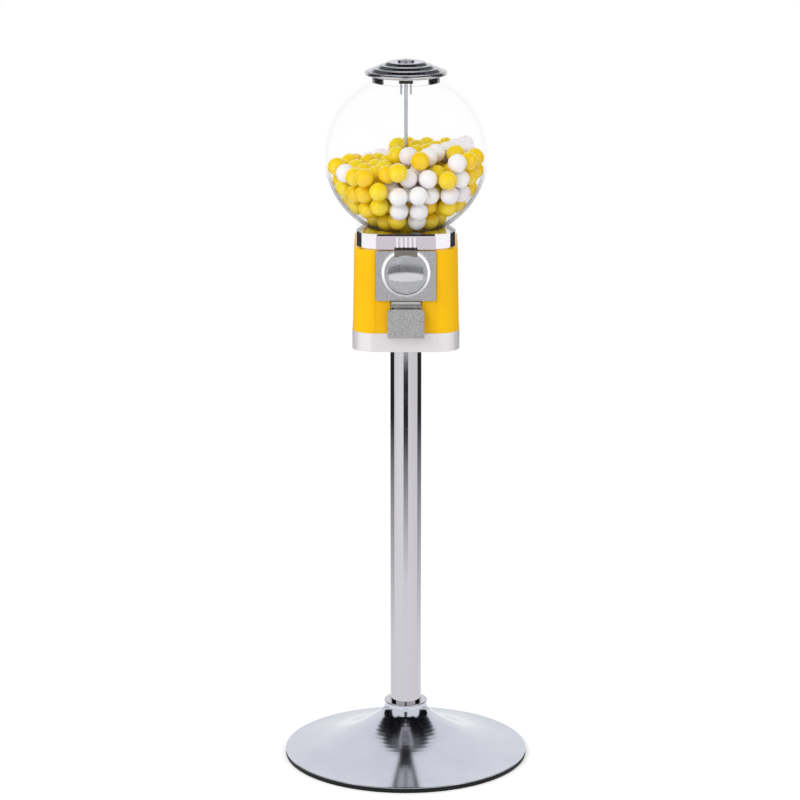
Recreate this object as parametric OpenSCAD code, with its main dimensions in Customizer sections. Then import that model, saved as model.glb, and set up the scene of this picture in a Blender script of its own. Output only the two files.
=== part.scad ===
/* [Stand] */
// Outer diameter of the round base
base_d = 368; // [330:1:400]
// Height of the base's trumpet neck above the floor
base_h = 82; // [72:1:95]
// Sheet thickness of the base
base_t = 1.6; // [1:0.1:2]
// Outer diameter at the top of the trumpet neck
neck_d = 63; // [58:1:70]
// Radius of the tight curve below the neck
neck_blend = 22; // [16:1:28]
// Width of the flat rim round the base
rim_w = 4; // [3:0.5:7]
// Height of the rubber edge ring
edge_ring_h = 6.7; // [5:0.1:9]
// Radial width of the rubber edge ring
edge_ring_w = 8; // [7:0.5:12]
// Outer diameter of the pole
pole_d = 47; // [42:1:52]
// Wall of the pole
pole_wall = 1.5; // [1:0.1:2.5]
// Height of the machine's head above the floor
stand_h = 648; // [450:1:800]
// Height of the ring that closes the base's neck
collar_h = 3; // [2:0.5:6]
// Diameter of the ballast plate in the base
ballast_d = 200; // [160:1:220]
// Thickness of the ballast plate
ballast_t = 10; // [6:1:12]
// Height of the ballast plate's underside above the floor
ballast_z = 10; // [9:0.5:11]
// Shank diameter of the base bolt
base_bolt_d = 9.9; // [8:0.1:12]
// Length of the plug at the foot of the pole
plug_h = 16; // [12:1:24]

/* [Head mounting] */
// Side of the square top flange of the pole
flange_w = 110; // [96:1:120]
// Thickness of the top flange
flange_t = 3; // [2:0.5:5]
// Distance of the flange bolts from the middle, each way
flange_bolt_x = 42; // [38:1:44]
// Shank diameter of the flange bolts
flange_bolt_d = 6; // [5:0.5:7]
// Diameter of the centre rod
rod_d = 5; // [4:0.1:5.2]

/* [Pan] */
// How far the base pan stands out past the shell, each side
pan_proud = 0.95; // [0.5:0.05:6]
// Height of the base pan
pan_h = 28; // [24:1:36]
// Corner radius of the base pan
pan_corner = 33; // [26:1:38]
// Wall of the base pan
pan_wall = 2.5; // [2:0.1:3]
// Thickness of the base pan's floor
pan_floor_t = 2.5; // [2:0.1:4]

/* [Body shell] */
// Width of the body shell at its foot
shell_w = 156.6; // [154:0.1:164]
// Width of the body shell at its top
shell_top_w = 152.4; // [150:0.1:154]
// Height of the body shell
shell_h = 124; // [120:1:140]
// Sheet thickness of the body shell
shell_wall = 1.5; // [1:0.1:2]
// Corner radius of the body shell
shell_corner = 31; // [26:1:34]
// Width of the shallow flat field on the front
field_w = 90; // [84:1:92]
// Depth of the shallow flat field on the front
field_depth = 0.8; // [0.4:0.1:1]
// Width of the top ledge turned inward
ledge_w = 5; // [3:0.5:6]
// Thickness of the top ledge
ledge_t = 3; // [2:0.5:4]

/* [Top plate] */
// Width of the top plate
top_w = 145.4; // [143:0.1:148]
// Height of the top plate
top_h = 23; // [21:0.5:28]
// Corner radius of the top plate
top_corner = 30; // [24:1:34]
// Wall of the top plate
top_wall = 2; // [1.5:0.1:2.5]
// Thickness of the top plate's deck
deck_t = 3; // [2:0.5:5]
// Width of the raised panel on the top plate's front
panel_w = 87; // [80:1:90]
// Number of ribs on the raised panel
rib_count = 5; // [3:1:7]
// Pitch of the ribs on the raised panel
rib_pitch = 6.4; // [5:0.1:8]

/* [Globe] */
// Outer diameter of the globe
globe_d = 240.6; // [225:0.1:260]
// Wall of the globe
globe_wall = 3; // [2:0.1:4]
// Outer diameter of the globe's lower neck
globe_neck_d = 113.8; // [110:0.1:115]
// Outer diameter of the globe's upper neck
mouth_d = 100; // [94:1:104]
// Height of the upper neck where it leaves the globe
mouth_h = 8.6; // [7:0.1:12]
// Thickness of the two globe gaskets
gasket_t = 1.5; // [1:0.1:2]

/* [Lid] */
// Outer diameter of the lid's rim bead
lid_d = 121; // [116:1:126]
// Diameter of the bead round the lid
lid_bead_d = 5.5; // [4:0.1:6]
// Sheet thickness of the lid
lid_t = 1.6; // [1.2:0.1:2]
// Height of the lid's crown above its rim
lid_crown = 19; // [17:0.5:24]
// Outer diameter of the lock case
lock_d = 19; // [18:0.5:22]
// Side of the square plate under the lock
lock_plate_w = 20.5; // [19:0.5:22]

/* [Dispensing wheel] */
// Diameter of one gumball
ball_d = 28; // [24:0.5:28.5]
// Number of pockets in the wheel
pocket_count = 6; // [4:1:6]
// Diameter of the wheel
wheel_d = 116; // [115:0.5:116]
// Height of the wheel
wheel_h = 28; // [26:0.5:30]
// Distance of a pocket's middle from the wheel's axis
pocket_at = 34; // [32:0.5:35]
// Teeth on the knob's pinion
pinion_teeth = 12; // [10:1:12]
// Turns of the knob for one turn of the wheel
gear_ratio = 6; // [6:1:6]
// Module of the gear pair
gear_module = 1.5; // [1.45:0.01:1.5]
// Direction of the drop hole from the wheel's axis, in degrees
drop_angle = 30; // [30:1:34]

/* [Coin mechanism] */
// Width of the coin plate
plate_w = 88; // [80:1:89]
// Thickness of the coin plate
plate_t = 4.5; // [3:0.5:6]
// Distance from the knob's axis to the plate's lower edge
plate_below = 42.8; // [40:0.1:44]
// Outer diameter of the bezel round the knob
bezel_d = 70.4; // [68:0.1:74]
// Width of the bezel
bezel_w = 3.4; // [2:0.1:4]
// Height of the bezel above the coin plate
bezel_h = 8; // [7:0.1:9]
// Diameter of the knob's disc
knob_d = 62.4; // [58:0.1:63]
// Thickness of the knob's disc
knob_t = 5; // [4.5:0.1:6]
// Length of the knob's grip
grip_w = 51; // [44:1:56]
// Height of the grip's middle
grip_h = 15; // [13:0.5:17]
// Height of the grip's two ends
grip_end_h = 9; // [7:0.5:11]
// How far the grip stands out of the disc
grip_out = 30; // [24:1:34]
// Diameter of the coin that the slot takes
coin_d = 24.3; // [20:0.1:25]
// Thickness of the coin that the slot takes
coin_t = 1.8; // [1.5:0.1:2]
// Diameter of the knob's shaft
shaft_d = 10; // [8:0.1:11]

/* [Chute and flap] */
// Clear width of the chute
chute_w = 31; // [30:0.5:32]
// Sheet thickness of the chute
chute_t = 1.2; // [1:0.1:1.6]
// Height of the chute's walls
chute_wall_h = 24; // [20:1:25]
// Width of the flap door
flap_w = 54; // [52:1:58]
// Height of the flap door
flap_h = 43; // [40:1:45]
// Thickness of the flap door
flap_t = 2.5; // [2:0.1:3]
// Diameter of the flap's hinge pin
pin_d = 3; // [2.5:0.1:4]

/* [Clearances] */
// Radial clearance of a running fit
run_gap = 0.05; // [0.02:0.01:0.1]
// Radial clearance of a seated pin or shaft
seat_gap = 0.02; // [0.02:0.01:0.05]
// Clearance between nested pressings
nest_gap = 0.3; // [0.2:0.05:0.5]
// Clearance between pieces that move past each other
move_gap = 0.5; // [0.4:0.05:0.8]

/* [Hidden] */

$fn = 96;
// Facets of a small hole or screw
fine = 32;
// Overlap of tools that cut right through
cut = 1;

// Stand levels, from the floor up
base_r = base_d / 2;
neck_r = neck_d / 2;
rim_r = base_r - rim_w;
rim_z = edge_ring_h + base_t;
pole_r = pole_d / 2;
hub_rise = 4;
pole_z0 = ballast_z + ballast_t + hub_rise;
washer_t = 2;
bolt_head_h = 6;
flange_z0 = stand_h;
pan_z0 = stand_h;
floor_z0 = flange_z0 + flange_t;
floor_z1 = floor_z0 + pan_floor_t;
shell_z0 = pan_z0 + pan_h;
pan_w = shell_w + 2 * pan_proud;
shell_z1 = shell_z0 + shell_h;
deck_z1 = shell_z1 + top_h;
deck_z0 = deck_z1 - deck_t;

// The boss in the top plate that holds the globe's lower neck
boss_h = 14;
boss_w = 10.6;
boss_ledge = 2;
boss_z0 = deck_z1 - boss_h;
globe_r = globe_d / 2;
globe_neck_r = globe_neck_d / 2;
neck_gap = 0.5;
boss_bore_r = globe_neck_r + neck_gap;
boss_r = boss_bore_r + boss_w;
gasket_z0 = boss_z0 + boss_ledge;
neck_z0 = gasket_z0 + gasket_t;
globe_sink = 2;
globe_z = deck_z1 - globe_sink + sqrt(pow(globe_r, 2) - pow(globe_neck_r, 2));
globe_in_r = globe_r - globe_wall;

// The mouth and the lid
mouth_r = mouth_d / 2;
mouth_z1 = globe_z + sqrt(pow(globe_r, 2) - pow(mouth_r, 2)) + mouth_h;
lid_z = mouth_z1 + gasket_t;
lid_r = lid_d / 2;
bead_r = lid_bead_d / 2;
skirt_gap = 1;
skirt_h = 1.5;
skirt_t = 2.5;
skirt_r = mouth_r + skirt_gap;
lid_top_z = lid_z + lid_crown;
lock_r = lock_d / 2;
lock_head_r = lock_r + 3;
lock_head_h = 2.5;
lock_face_z = lid_top_z + lock_head_h;
lock_z0 = lid_z - 6.5;
lock_plate_t = 6;
lock_plate_z0 = lock_z0 - lock_plate_t;
plug_head_r = 6.4;
plug_head_h = 15;
keyway_w = 1.4;
keyway_l = 7.2;
keyway_rib = 3.4;
keyway_depth = 8;
sleeve_r = 4.2;
rod_r = rod_d / 2;
rod_top_gap = 17;
rod_top_z = lock_face_z - rod_top_gap;
lock_screw_r = 1.5;
lock_screw_x = 7;
lock_screw_drop = 17;
lock_screw_rise = 5;

// The wheel, its housing and the gear pair
housing_flange_t = 3;
housing_z1 = boss_z0;
wheel_z1 = housing_z1 - 5;
wheel_z0 = wheel_z1 - wheel_h;
wheel_r = wheel_d / 2;
housing_t = 2.5;
housing_wall = 1.5;
housing_in_r = 59;
housing_r = housing_in_r + housing_wall;
housing_flange_r = 67.5;
housing_screw_at = 64;
housing_floor_z1 = wheel_z0 - move_gap;
housing_floor_z0 = housing_floor_z1 - housing_t;
spigot_r = 6;
spigot_z1 = wheel_z1 + move_gap;
pocket_r = ball_d / 2 + 1.2;
ball_r = ball_d / 2;
pinion_r = pinion_teeth * gear_module / 2;
wheel_teeth = pinion_teeth * gear_ratio;
gear_at = wheel_teeth * gear_module / 2;
gear_pitch_w = PI * gear_module;
tooth_share = 0.36;
tooth_w = gear_pitch_w * tooth_share;
pressure = 20;
addendum = 1.2;
dedendum = 1.8;
gear_w = 6;
pinion_w = 5;
axis_z = wheel_z0 + addendum - pinion_r;
drop_hole_r = pocket_r;
hole_x = pocket_at * cos(drop_angle);
hole_y = pocket_at * sin(drop_angle);
hub_washer_r = 9;
hub_washer_t = 1.5;
cover_t = 2;
cover_z0 = spigot_z1 + hub_washer_t;
cover_ring_r = 10;
hub_nut_h = 5;
hub_nut_r = 5.5;

// The front of the body and what is fixed to it, from the back to the front
front_y = -shell_w / 2;
field_y = front_y + field_depth;
plate_y = field_y - plate_t;
disc_y1 = plate_y - 1;
disc_y0 = disc_y1 - knob_t;
bezel_y = plate_y - bezel_h;
bezel_r = bezel_d / 2;
knob_r = knob_d / 2;
grip_y = disc_y0 - grip_out;
plate_z0 = axis_z - plate_below;
plate_z1 = shell_z1 - move_gap;
mech_hole_x = 38;
mech_hole_z0 = plate_z0 + 6.6;
mech_hole_z1 = shell_z1 - ledge_t - 1;
panel_y = field_y - 2.5;
panel_z0 = shell_z1 + 1.5;
panel_z1 = deck_z1 - 1.5;
grip_root_h = 3;
grip_root_grow = 2.4;
grip_bevel = 1.2;
grip_sweep_r = norm([grip_w / 2, grip_end_h / 2 + grip_root_grow]);
rib_w = 2.8;
rib_out = 1.2;
guide_w = 33.4;
guide_h = 10;
guide_front_t = 3.2;
guide_recess = 0.8;
guide_z1 = axis_z + knob_r + 3.1;
guide_z0 = guide_z1 - guide_h;
guide_y0 = disc_y0 - move_gap - guide_front_t;
coin_gap = 0.4;
coin_slot_t = coin_t + coin_gap;
shaft_r = shaft_d / 2;
coin_wheel_r = 27;
coin_wheel_t = 2;
coin_wheel_y = field_y + 4;
ratchet_y = coin_wheel_y + coin_wheel_t + 1;
ratchet_t = 3;
ratchet_r = 18;
ratchet_root_r = 15;
ratchet_teeth = 12;
frame_y = field_y + 13.5;
frame_t = 2;
frame_x = 36;
frame_up = 26;
frame_down = 36;
post_r = 3;
post_x = 32;
post_up = 18;
post_down = 28;
mech_screw_r = 1.5;
pinion_y0 = -gear_at - pinion_w / 2;
shaft_end_y = -gear_at + pinion_w / 2 + 3;
shaft_front_y = disc_y0 + 1;
clip_t = 1.2;
clip_y = shaft_end_y - 2;
frame_boss_r = shaft_r + 4;
frame_boss_y = -housing_r - move_gap;

// The pawl, seen from the front
pawl_x = -23;
pawl_up = 6;
pawl_pin_r = 1.5;
pawl_t = 3;
pawl_ride = 0.3;
spring_r = 2.2;
spring_wire = 0.8;
spring_turns = 5;

// The chute, its frame and the flap
pin_r = pin_d / 2;
barrel_r = pin_r + 1.7;
frame_lip_z1 = plate_z0 - 0.4;
lip_t = 4;
lip_y = field_y - 9;
hinge_y = field_y - 8.5;
hinge_z = frame_lip_z1 - 7.5;
cheek_x = 20.5;
cheek_t = 1.5;
cheek_y = hinge_y - 5;
sill_z0 = shell_z0 + 0.2;
sill_t = 2;
flap_y1 = cheek_y - move_gap;
flap_y0 = flap_y1 - flap_t;
flap_z1 = hinge_z - 2.5;
flap_z0 = flap_z1 - flap_h;
flap_flange_t = 1.8;
flap_flange_d = 5.5;
tongue_w = 36;
chute_end_y = front_y + 3.5;
chute_end_x = 2;
chute_run = norm([hole_x - chute_end_x, hole_y - chute_end_y]);
chute_dir = atan2(chute_end_y - hole_y, chute_end_x - hole_x);
chute_back = pocket_r + 2.5;
chute_foot_z = sill_z0 + sill_t + 2.5;
chute_head_z = housing_floor_z0 - 32;
chute_fall = (chute_head_z - chute_foot_z) / chute_run;

// A square with round corners, made of squares and circles
module round_square(w, d, r) {
    square([w - 2 * r, d], center = true);
    square([w, d - 2 * r], center = true);
    for (x = [-1, 1], y = [-1, 1])
        translate([x * (w / 2 - r), y * (d / 2 - r)]) circle(r);
}

module round_block(w, d, r, z0, z1) {
    translate([0, 0, z0]) linear_extrude(z1 - z0) round_square(w, d, r);
}

module ring(r_out, r_in, z0, z1) {
    translate([0, 0, z0]) difference() {
        cylinder(r = r_out, h = z1 - z0);
        translate([0, 0, -cut]) cylinder(r = r_in, h = z1 - z0 + 2 * cut);
    }
}

// A cylinder along Y, from y0 to y1, on the axis through x and z
module rod_y(x, z, r, y0, y1) {
    translate([x, y0, z]) rotate([-90, 0, 0]) cylinder(r = r, h = y1 - y0);
}

// An outline seen from the front, on the knob's axis, from y0 to y1
module front_plate(y0, y1) {
    translate([0, y1, axis_z]) rotate([90, 0, 0]) linear_extrude(y1 - y0) children();
}

module hex_head(af_r, h) {
    cylinder(r = af_r, h = h, $fn = 6);
}

// Stand ------------------------------------------------------------------

// The trumpet is two arcs that meet smoothly
blend_end = 50;
blend_x = neck_r + neck_blend;
join_x = blend_x - neck_blend * cos(blend_end);
join_z = base_h - neck_blend * sin(blend_end);
sweep_dx = rim_r - join_x;
sweep_dz = rim_z - join_z;
sweep_r = (pow(sweep_dx, 2) + pow(sweep_dz, 2))
    / (2 * (sweep_dx * cos(blend_end) + sweep_dz * sin(blend_end)));
sweep_x = join_x + sweep_r * cos(blend_end);
sweep_z = join_z + sweep_r * sin(blend_end);
sweep_end = atan2(sweep_z - rim_z, sweep_x - rim_r);

// Steps along an arc of the trumpet
blend_steps = 10;
sweep_steps = 22;

function arc_point(x, z, r, a) = [x - r * cos(a), z - r * sin(a)];
function trumpet_side(depth) = concat(
    [for (i = [0 : blend_steps])
        arc_point(blend_x, base_h, neck_blend + depth, blend_end * i / blend_steps)],
    [for (i = [1 : sweep_steps])
        arc_point(sweep_x, sweep_z, sweep_r + depth,
            blend_end + (sweep_end - blend_end) * i / sweep_steps)]
);
edge_bevel = 0.5;
function backwards(list) = [for (i = [len(list) - 1 : -1 : 0]) list[i]];

module base_dish() {
    rim = [
        [base_r - edge_bevel, rim_z], [base_r, rim_z - edge_bevel],
        [base_r, edge_ring_h + edge_bevel], [base_r - edge_bevel, edge_ring_h]
    ];
    color("lightsteelblue") rotate_extrude($fn = 180)
        polygon(concat(trumpet_side(0), rim, backwards(trumpet_side(base_t))));
}

module base_edge_ring() {
    color("black") rotate_extrude($fn = 180) {
        translate([base_r - edge_ring_w, 0]) square([edge_ring_w - 1.5, edge_ring_h]);
        translate([base_r - 1.6, 1.5]) square([1.6, edge_ring_h - 3]);
        translate([base_r - 1.5, 1.5]) circle(1.5);
        translate([base_r - 1.5, edge_ring_h - 1.5]) circle(1.5);
    }
}

module ballast_plate() {
    color("dimgray") difference() {
        union() {
            translate([0, 0, ballast_z]) cylinder(r = ballast_d / 2, h = ballast_t);
            translate([0, 0, ballast_z]) cylinder(r = pole_r + 4.5, h = ballast_t + hub_rise);
        }
        translate([0, 0, ballast_z - cut])
            cylinder(d = base_bolt_d + 2 * nest_gap, h = ballast_t + hub_rise + 2 * cut);
    }
}

module base_bolt() {
    shank_z0 = ballast_z - washer_t;
    color("silver") {
        translate([0, 0, shank_z0 - bolt_head_h]) hex_head(base_bolt_d * 0.9, bolt_head_h);
        translate([0, 0, shank_z0]) cylinder(d = base_bolt_d, h = pole_z0 + plug_h - shank_z0 - 1);
    }
}

module base_washer() {
    color("silver")
        ring(base_bolt_d * 1.05 + 1, base_bolt_d / 2 + nest_gap, ballast_z - washer_t, ballast_z);
}

module pole() {
    color("silver") ring(pole_r, pole_r - pole_wall, pole_z0, flange_z0, $fn = 128);
}

module pole_plug() {
    color("gray") ring(pole_r - pole_wall - seat_gap, base_bolt_d / 2 + run_gap, pole_z0, pole_z0 + plug_h);
}

module pole_collar() {
    edge = collar_h / 2;
    in_r = pole_r + run_gap;
    out_r = neck_r + 1.5;
    color("gainsboro") rotate_extrude($fn = 128) {
        translate([in_r, base_h]) square([out_r - edge - in_r, collar_h]);
        translate([out_r - edge, base_h + edge]) circle(edge);
    }
}

// Head mounting ----------------------------------------------------------

rod_hole_r = 9;
flange_corner = 12;

module at_flange_bolts() {
    for (x = [-1, 1], y = [-1, 1]) translate([x * flange_bolt_x, y * flange_bolt_x, 0]) children();
}

module top_flange() {
    color("gray") difference() {
        round_block(flange_w, flange_w, flange_corner, flange_z0, flange_z0 + flange_t);
        translate([0, 0, flange_z0 - cut]) cylinder(r = rod_hole_r, h = flange_t + 2 * cut);
        at_flange_bolts() translate([0, 0, flange_z0 - cut])
            cylinder(d = flange_bolt_d + 2 * nest_gap, h = flange_t + 2 * cut);
    }
}

flange_head_h = 4;
flange_nut_h = 5;

module flange_bolts() {
    color("silver") at_flange_bolts() {
        translate([0, 0, flange_z0 - flange_head_h]) hex_head(flange_bolt_d * 0.95, flange_head_h);
        translate([0, 0, flange_z0]) cylinder(d = flange_bolt_d, h = floor_z1 + flange_nut_h + 1 - flange_z0);
    }
}

module flange_nuts() {
    color("silver") at_flange_bolts() difference() {
        translate([0, 0, floor_z1]) hex_head(flange_bolt_d * 0.95, flange_nut_h);
        translate([0, 0, floor_z1 - cut])
            cylinder(d = flange_bolt_d + 2 * seat_gap, h = flange_nut_h + 2 * cut);
    }
}

rod_boss_r = 8;
rod_boss_h = 6;
rod_washer_r = 7;
rod_washer_t = 1;
rod_nut_h = 4;
rod_nut_z1 = floor_z0 - rod_washer_t;
rod_nut_z0 = rod_nut_z1 - rod_nut_h;
rod_z0 = rod_nut_z0 - 2;

module centre_rod() {
    color("silver") translate([0, 0, rod_z0]) cylinder(r = rod_r, h = rod_top_z - rod_z0);
}

module rod_washer() {
    color("silver") ring(rod_washer_r, rod_r + nest_gap, rod_nut_z1, floor_z0);
}

module rod_nut() {
    color("silver") difference() {
        translate([0, 0, rod_nut_z0]) hex_head(rod_r * 1.9, rod_nut_h);
        translate([0, 0, rod_nut_z0 - cut]) cylinder(r = rod_r + seat_gap, h = rod_nut_h + 2 * cut);
    }
}

// Pan and body shell -----------------------------------------------------

lip_w = shell_w - 2 * (shell_wall + nest_gap);
lip_corner = shell_corner - shell_wall - nest_gap;
lip_wall = 2;
lip_rise = 4;
chute_notch = 24;
lip_below = 8;

module base_pan() {
    in_w = pan_w - 2 * pan_wall;
    in_corner = pan_corner - pan_wall;
    lip_in_w = lip_w - 2 * lip_wall;
    lip_in_corner = lip_corner - lip_wall;
    color("lightgray") difference() {
        union() {
            round_block(pan_w, pan_w, pan_corner, pan_z0, shell_z0);
            round_block(lip_w, lip_w, lip_corner, shell_z0 - cut, shell_z0 + lip_rise);
        }
        difference() {
            round_block(in_w, in_w, in_corner, floor_z1, shell_z0 - lip_below);
            translate([0, 0, floor_z1 - cut]) cylinder(r = rod_boss_r, h = rod_boss_h + cut);
        }
        round_block(lip_in_w, lip_in_w, lip_in_corner, shell_z0 - lip_below - cut, shell_z0 + lip_rise + cut);
        round_block(in_w, in_w, in_corner, pan_z0 - cut, floor_z0);
        translate([0, 0, pan_z0]) cylinder(r = rod_r + move_gap, h = pan_h);
        at_flange_bolts() translate([0, 0, pan_z0])
            cylinder(d = flange_bolt_d + 2 * nest_gap, h = pan_h / 2);
        translate([-chute_hole_x, front_y, shell_z0])
            cube([2 * chute_hole_x, chute_notch, lip_rise + cut]);
    }
}

// The shell narrows upward in width only, so the front stays upright
shell_taper = shell_top_w / shell_w;
shell_top_in_w = shell_top_w - 2 * shell_wall;
chute_hole_x = cheek_x + 2.5;
front_cut = 2 * shell_wall + 2 * cut;

module tapered_block(w, d, r, z0, z1, taper) {
    translate([0, 0, z0]) linear_extrude(z1 - z0, scale = [taper, 1], slices = 1) round_square(w, d, r, $fn = 64);
}

module body_shell() {
    in_w = shell_w - 2 * shell_wall;
    in_corner = shell_corner - shell_wall;
    mouth_w = shell_top_in_w - 2 * ledge_w;
    mouth_depth = shell_w - 2 * (shell_wall + ledge_w);
    color("gold") difference() {
        tapered_block(shell_w, shell_w, shell_corner, shell_z0, shell_z1, shell_taper);
        tapered_block(in_w, in_w, in_corner, shell_z0 - 0.01, shell_z1 - ledge_t, shell_taper);
        round_block(mouth_w, mouth_depth, in_corner - ledge_w, shell_z1 - ledge_t - cut, shell_z1 + cut);
        translate([-field_w / 2, front_y - cut, shell_z0 - cut])
            cube([field_w, cut + field_depth, shell_h + 2 * cut]);
        translate([-mech_hole_x, front_y - cut, mech_hole_z0])
            cube([2 * mech_hole_x, front_cut, mech_hole_z1 - mech_hole_z0]);
        translate([-chute_hole_x, front_y - cut, shell_z0 - cut])
            cube([2 * chute_hole_x, front_cut, frame_lip_z1 - shell_z0 + cut]);
    }
}

module top_plate() {
    in_w = top_w - 2 * top_wall;
    in_corner = top_corner - top_wall;
    seat_w = shell_top_in_w - 2 * ledge_w - 2 * nest_gap;
    seat_corner = shell_corner - shell_wall - ledge_w - nest_gap;
    seat_wall = 1.5;
    seat_drop = 5;
    foot_t = 3;
    panel_h = panel_z1 - panel_z0;
    panel_corner = 2;
    color("silver") {
        difference() {
            round_block(top_w, top_w, top_corner, shell_z1, deck_z1);
            round_block(in_w, in_w, in_corner, shell_z1 + foot_t, deck_z0);
            round_block(seat_w - 2 * seat_wall, seat_w - 2 * seat_wall, seat_corner - seat_wall,
                shell_z1 - cut, shell_z1 + foot_t + cut);
            translate([0, 0, deck_z0 - cut]) cylinder(r = boss_bore_r + boss_w / 2, h = deck_t + 2 * cut);
        }
        difference() {
            round_block(seat_w, seat_w, seat_corner, shell_z1 - seat_drop, shell_z1 + foot_t);
            round_block(seat_w - 2 * seat_wall, seat_w - 2 * seat_wall, seat_corner - seat_wall,
                shell_z1 - seat_drop - cut, shell_z1 + foot_t + cut);
        }
        difference() {
            translate([0, 0, boss_z0]) cylinder(r = boss_r, h = boss_h);
            translate([0, 0, gasket_z0]) cylinder(r = boss_bore_r, h = boss_h);
            translate([0, 0, boss_z0 - cut]) cylinder(r = globe_neck_r - globe_wall, h = boss_h);
            translate([0, 0, globe_z]) sphere(globe_r + neck_gap, $fn = 128);
            at_housing_screws() translate([0, 0, boss_z0 - cut])
                cylinder(r = housing_screw_r + seat_gap, h = housing_screw_in + 1 + cut, $fn = fine);
        }
        translate([0, -top_w / 2 + 1, (panel_z0 + panel_z1) / 2]) rotate([90, 0, 0])
            linear_extrude(-top_w / 2 + 1 - panel_y) round_square(panel_w, panel_h, panel_corner);
        for (i = [0 : rib_count - 1])
            translate([(i - (rib_count - 1) / 2) * rib_pitch - rib_w / 2, panel_y - rib_out, panel_z0 + 1])
                cube([rib_w, rib_out + 1, panel_h - 2]);
    }
}

// Globe ------------------------------------------------------------------

module globe_gasket() {
    color("dimgray") ring(boss_bore_r - nest_gap, globe_neck_r - globe_wall, gasket_z0, neck_z0);
}

module globe() {
    neck_in_r = globe_neck_r - globe_wall;
    mouth_in_r = mouth_r - globe_wall;
    color("white", 0.25) difference() {
        union() {
            translate([0, 0, globe_z]) sphere(globe_r, $fn = 128);
            translate([0, 0, neck_z0]) cylinder(r = globe_neck_r, h = globe_z - neck_z0 - globe_r / 2);
            translate([0, 0, globe_z + globe_r / 2])
                cylinder(r = mouth_r, h = mouth_z1 - globe_z - globe_r / 2);
        }
        translate([0, 0, globe_z]) sphere(globe_in_r, $fn = 128);
        translate([0, 0, globe_z - globe_r - cut])
            cylinder(r = globe_neck_r + cut, h = neck_z0 - globe_z + globe_r + cut);
        translate([0, 0, globe_z - globe_r - cut]) cylinder(r = neck_in_r, h = globe_r / 2);
        translate([0, 0, globe_z + globe_r / 2]) cylinder(r = mouth_in_r, h = globe_r);
        translate([0, 0, mouth_z1]) cylinder(r = mouth_r + cut, h = globe_r);
    }
}

module lid_gasket() {
    color("dimgray") ring(mouth_r + 0.5, mouth_r - globe_wall, mouth_z1, lid_z);
}

// Lid and lock -----------------------------------------------------------

// The crown rises from the rim in soft steps: shares of the lid's radius and height
lid_foot = [0.925, 0.3];
lid_top = [0.42, 1];
lid_waves = 3;
lid_wave_depth = 0.045;
lid_points = 24;
function lid_point(s) = let (
    r = lid_foot[0] + (lid_top[0] - lid_foot[0]) * s,
    rise = s - lid_wave_depth * sin(360 * lid_waves * s))
    [lid_r * r, lid_z + lid_crown * (lid_foot[1] + (lid_top[1] - lid_foot[1]) * rise)];

module lid() {
    bead_z = lid_z + bead_r;
    crown = [for (i = [0 : lid_points]) lid_point(i / lid_points)];
    hollow = [for (p = crown) [p[0] - lid_t, p[1] - lid_t]];
    color("silver") difference() {
        rotate_extrude($fn = 128) difference() {
            union() {
                polygon(concat([[0, lid_z], [lid_r - bead_r, lid_z]], crown, [[0, lid_top_z]]));
                translate([lid_r - bead_r, bead_z]) circle(bead_r, $fn = 48);
                translate([skirt_r, lid_z - skirt_h]) square([skirt_t, skirt_h + 1]);
            }
            polygon(concat([[0, lid_z + lid_t], [hollow[0][0], lid_z + lid_t]],
                hollow, [[0, lid_top_z - lid_t]]));
            translate([-cut, lid_z - cut]) square([mouth_r - globe_wall + cut, lid_t + 2 * cut]);
        }
        translate([0, 0, lid_z - skirt_h]) cylinder(r = lock_r + seat_gap, h = lid_crown * 2);
    }
}

module lock_case() {
    bore_r = plug_head_r + run_gap;
    color("silver") difference() {
        union() {
            translate([0, 0, lock_z0]) cylinder(r = lock_r, h = lid_top_z - lock_z0);
            translate([0, 0, lid_top_z]) cylinder(r = lock_head_r, h = lock_head_h - 0.6);
            translate([0, 0, lid_top_z + lock_head_h - 0.6])
                cylinder(r1 = lock_head_r, r2 = lock_head_r - 0.6, h = 0.6);
        }
        translate([0, 0, lock_face_z - plug_head_h - nest_gap]) cylinder(r = bore_r, h = plug_head_h + 2);
        translate([0, 0, lock_z0 - cut]) cylinder(r = sleeve_r + run_gap, h = lid_crown + 2);
        for (x = [-1, 1]) translate([x * lock_screw_x, 0, lock_z0 - cut])
            cylinder(r = lock_screw_r + seat_gap, h = lock_screw_rise + 1 + cut, $fn = fine);
    }
}

module lock_plug() {
    color("gray") difference() {
        union() {
            translate([0, 0, lock_face_z - plug_head_h]) cylinder(r = plug_head_r, h = plug_head_h + 0.4);
            translate([0, 0, lock_plate_z0 + 1])
                cylinder(r = sleeve_r, h = lock_face_z - plug_head_h - lock_plate_z0);
        }
        translate([0, 0, lock_plate_z0]) cylinder(r = rod_r + nest_gap, h = rod_top_z + 2 - lock_plate_z0);
        translate([-keyway_w / 2, -keyway_l / 2, lock_face_z - keyway_depth])
            cube([keyway_w, keyway_l, 2 * keyway_depth]);
        translate([-keyway_rib / 2, -keyway_w, lock_face_z - keyway_depth])
            cube([keyway_rib, 2 * keyway_w, 2 * keyway_depth]);
    }
}

module lock_plate() {
    color("black") difference() {
        round_block(lock_plate_w, lock_plate_w, 2.5, lock_plate_z0, lock_z0);
        translate([0, 0, lock_plate_z0 - cut]) cylinder(r = sleeve_r + run_gap, h = lock_plate_t + 2 * cut);
        for (x = [-1, 1]) translate([x * lock_screw_x, 0, lock_plate_z0 - cut])
            cylinder(r = lock_screw_r + seat_gap, h = lock_plate_t + 2 * cut, $fn = fine);
    }
}

module lock_screws() {
    color("silver") for (x = [-1, 1]) translate([x * lock_screw_x, 0, lock_plate_z0 - lock_screw_drop])
        cylinder(r = lock_screw_r, h = lock_screw_drop + lock_plate_t + lock_screw_rise, $fn = fine);
}

// Dispensing wheel -------------------------------------------------------

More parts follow.
